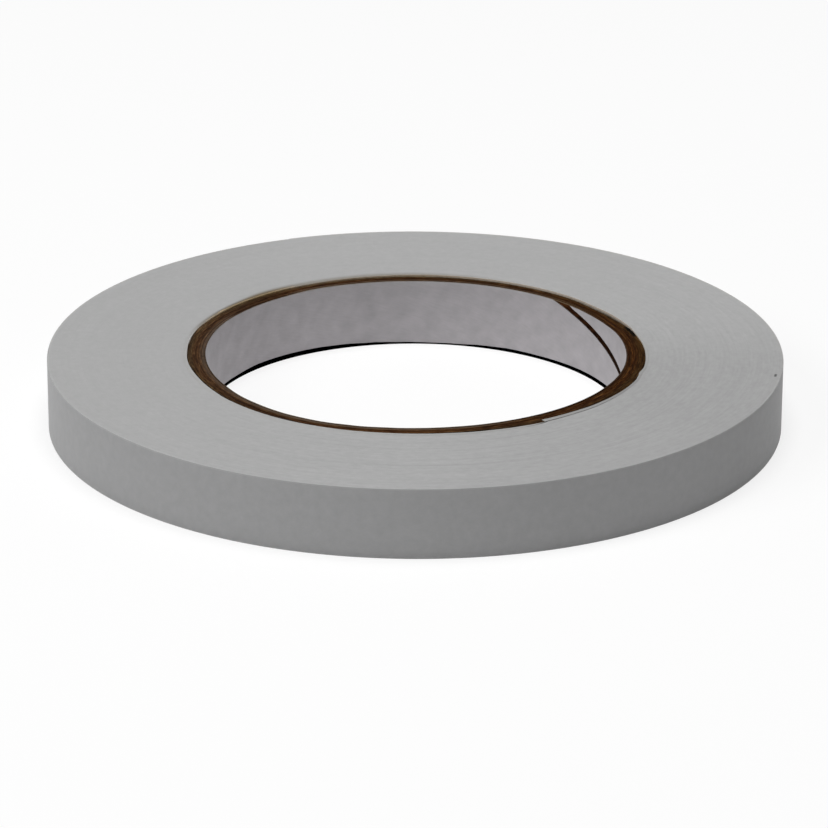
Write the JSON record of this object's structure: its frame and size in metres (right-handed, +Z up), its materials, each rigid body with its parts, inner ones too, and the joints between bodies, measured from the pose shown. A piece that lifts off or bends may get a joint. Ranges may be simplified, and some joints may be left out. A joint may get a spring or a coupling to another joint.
{
  "type": "roll of labeling tape",
  "caption": "Flat ring of grey half-inch writing tape wound on a spiral paperboard core, with a free end that peels off the last turn.",
  "frame": {"origin": "centre of the bottom face of the roll, on the surface that it lies on", "axes": "+Z up along the roll's axis, +Y away from the picture's camera, +X to its right"},
  "size_m": [0.1331, 0.1332, 0.0127],
  "materials": {
    "liner_paper": "matte lilac-grey liner paper with a faint mottle",
    "kraft_board": "dark brown kraft board, cut edge, matte and fibrous",
    "kraft_board_light": "brown kraft board, cut edge, matte and fibrous",
    "kraft_board_outer": "lighter brown kraft board, cut edge, matte and fibrous",
    "tape_edges": "slit edges of grey tape wound tight, matte with faint winding rings",
    "tape_face": "smooth matte grey writing surface"
  },
  "bodies": {
    "roll": {"core_liner": "liner_paper", "core_ply_1": "kraft_board", "core_ply_2": "kraft_board_light", "core_ply_3": "kraft_board", "core_ply_4": "kraft_board_light", "core_outer_ply": "kraft_board_outer", "first_turns": "tape_edges", "tape_pack": "tape_edges", "outer_turn": "tape_face"},
    "tape_end": {"tape_end": "tape_face"}
  },
  "joints": [
    {"name": "tape_end_peel", "type": "hinge", "parent": "roll", "child": "tape_end", "pos_m": [-0.00707, 0.06626, 0.00635], "axis": [0, 0, -1], "range_deg": [0, 150]}
  ]
}
